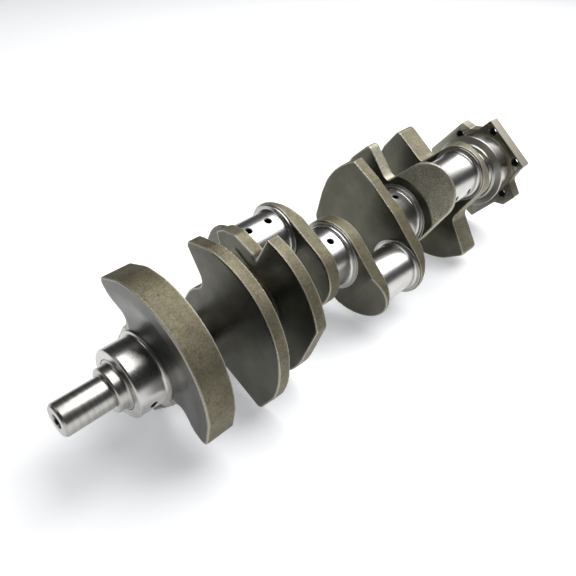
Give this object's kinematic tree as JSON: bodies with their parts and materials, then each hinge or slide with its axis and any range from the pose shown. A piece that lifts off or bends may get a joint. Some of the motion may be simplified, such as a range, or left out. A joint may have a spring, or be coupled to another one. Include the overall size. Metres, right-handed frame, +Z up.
{
  "type": "crankshaft",
  "caption": "Cross-plane engine crankshaft with counterweighted webs, ground journals, a plain nose and a scalloped bolt flange.",
  "frame": {"origin": "centre of the rear face of the flywheel flange, on the shaft axis", "axes": "+X along the shaft toward the nose, +Z up as the shaft lies at rest, +Y completes the set; crankpin 4 points 51 degrees up from +Y"},
  "size_m": [0.6077, 0.166, 0.166],
  "materials": {
    "ground_journal": "ground and polished",
    "turned_steel": "fine turned",
    "forged_skin": "blasted as-formed skin"
  },
  "bodies": {
    "root": {"nose_snout": "turned_steel", "gear_seat_collar": "turned_steel", "main_journal_1": "ground_journal", "main_journal_2": "ground_journal", "main_journal_3": "ground_journal", "main_journal_4": "ground_journal", "main_journal_5": "ground_journal", "crankpin_1": "ground_journal", "crankpin_2": "ground_journal", "crankpin_3": "ground_journal", "crankpin_4": "ground_journal", "web_1": "forged_skin", "web_2": "forged_skin", "web_3": "forged_skin", "web_4": "forged_skin", "web_5": "forged_skin", "web_6": "forged_skin", "web_7": "forged_skin", "web_8": "forged_skin", "oil_slinger": "turned_steel", "rear_seal_land": "turned_steel", "flywheel_flange": "forged_skin"}
  },
  "joints": []
}
